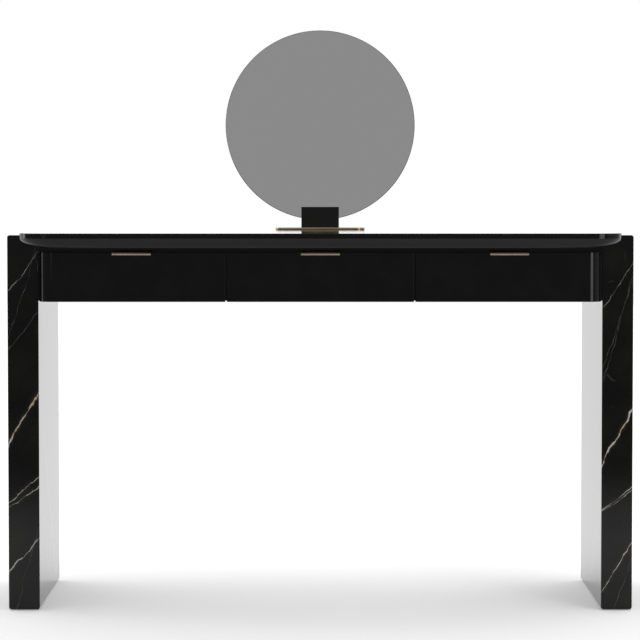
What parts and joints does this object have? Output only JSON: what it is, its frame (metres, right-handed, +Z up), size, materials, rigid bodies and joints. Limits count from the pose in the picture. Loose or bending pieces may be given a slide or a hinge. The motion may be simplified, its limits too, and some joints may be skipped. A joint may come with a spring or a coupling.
{
  "type": "vanity table with mirror",
  "caption": "Vanity table with stone-clad panel legs, a gloss black top with a curved underside, a row of drawers with small edge pulls, and a free-standing round mirror.",
  "frame": {"origin": "on the floor, in the middle of the table's footprint", "axes": "+X to the right seen from the front, +Y to the back, +Z up; the drawers open towards -Y"},
  "size_m": [1.3, 0.64, 1.2322],
  "materials": {
    "marble": "polished black marble with fine white and gold veins",
    "black_lacquer": "high-gloss black lacquer on fibreboard",
    "plywood": "raw birch plywood",
    "walnut": "satin walnut",
    "champagne_brass": "fine brushed champagne brass",
    "zinc_steel": "zinc plated",
    "black_steel": "black oxide",
    "mirror": "silvered glass",
    "black_board": "matt black paint on board",
    "black_metal": "satin black paint",
    "felt": "thin black felt",
    "glide_plastic": "moulded nylon"
  },
  "bodies": {
    "table": {"case_back": "black_lacquer", "case_back_rail": "black_lacquer", "case_bottom": "black_lacquer", "case_divider_left": "black_lacquer", "case_divider_right": "black_lacquer", "case_front_rail": "black_lacquer", "case_screws": "zinc_steel", "case_side_left": "black_lacquer", "case_side_right": "black_lacquer", "floor_glides": "glide_plastic", "left_leg_back_stone": "marble", "left_leg_core": "plywood", "left_leg_front_stone": "marble", "left_leg_inner_stone": "marble", "left_leg_outer_stone": "marble", "left_leg_top_stone": "marble", "leg_bolts": "black_steel", "right_leg_back_stone": "marble", "right_leg_core": "plywood", "right_leg_front_stone": "marble", "right_leg_inner_stone": "marble", "right_leg_outer_stone": "marble", "right_leg_top_stone": "marble", "runner_outer_members": "zinc_steel", "table_top": "black_lacquer", "top_screws": "zinc_steel"},
    "mirror_stand": {"mirror_backing": "black_board", "mirror_base_pad": "felt", "mirror_base_plate": "champagne_brass", "mirror_glass": "mirror", "mirror_holder_block": "black_metal", "mirror_stand_screws": "zinc_steel"},
    "drawer_left": {"drawer_left_back": "walnut", "drawer_left_floor": "walnut", "drawer_left_front": "black_lacquer", "drawer_left_pull": "champagne_brass", "drawer_left_pull_screws": "black_steel", "drawer_left_side_left": "walnut", "drawer_left_side_right": "walnut", "runner_left_inner_members": "zinc_steel"},
    "runner_left": {"runner_left_middle_members": "zinc_steel"},
    "drawer_centre": {"drawer_centre_back": "walnut", "drawer_centre_floor": "walnut", "drawer_centre_front": "black_lacquer", "drawer_centre_pull": "champagne_brass", "drawer_centre_pull_screws": "black_steel", "drawer_centre_side_left": "walnut", "drawer_centre_side_right": "walnut", "runner_centre_inner_members": "zinc_steel"},
    "runner_centre": {"runner_centre_middle_members": "zinc_steel"},
    "drawer_right": {"drawer_right_back": "walnut", "drawer_right_floor": "walnut", "drawer_right_front": "black_lacquer", "drawer_right_pull": "champagne_brass", "drawer_right_pull_screws": "black_steel", "drawer_right_side_left": "walnut", "drawer_right_side_right": "walnut", "runner_right_inner_members": "zinc_steel"},
    "runner_right": {"runner_right_middle_members": "zinc_steel"}
  },
  "joints": [
    {"name": "drawer_left_slide", "type": "slide", "parent": "table", "child": "drawer_left", "axis": [0, -1, 0], "range_m": [0, 0.35]},
    {"name": "runner_left_slide", "type": "slide", "parent": "table", "child": "runner_left", "axis": [0, -1, 0], "range_m": [0, 0.175]},
    {"name": "drawer_centre_slide", "type": "slide", "parent": "table", "child": "drawer_centre", "axis": [0, -1, 0], "range_m": [0, 0.35]},
    {"name": "runner_centre_slide", "type": "slide", "parent": "table", "child": "runner_centre", "axis": [0, -1, 0], "range_m": [0, 0.175]},
    {"name": "drawer_right_slide", "type": "slide", "parent": "table", "child": "drawer_right", "axis": [0, -1, 0], "range_m": [0, 0.35]},
    {"name": "runner_right_slide", "type": "slide", "parent": "table", "child": "runner_right", "axis": [0, -1, 0], "range_m": [0, 0.175]},
    {"name": "mirror_lift", "type": "slide", "parent": "table", "child": "mirror_stand", "axis": [0, 0, 1], "range_m": [0, 0.15]}
  ],
  "couplings": [
    {"joint": "runner_left_slide", "follows": "drawer_left_slide", "ratio": 0.5},
    {"joint": "runner_centre_slide", "follows": "drawer_centre_slide", "ratio": 0.5},
    {"joint": "runner_right_slide", "follows": "drawer_right_slide", "ratio": 0.5}
  ]
}
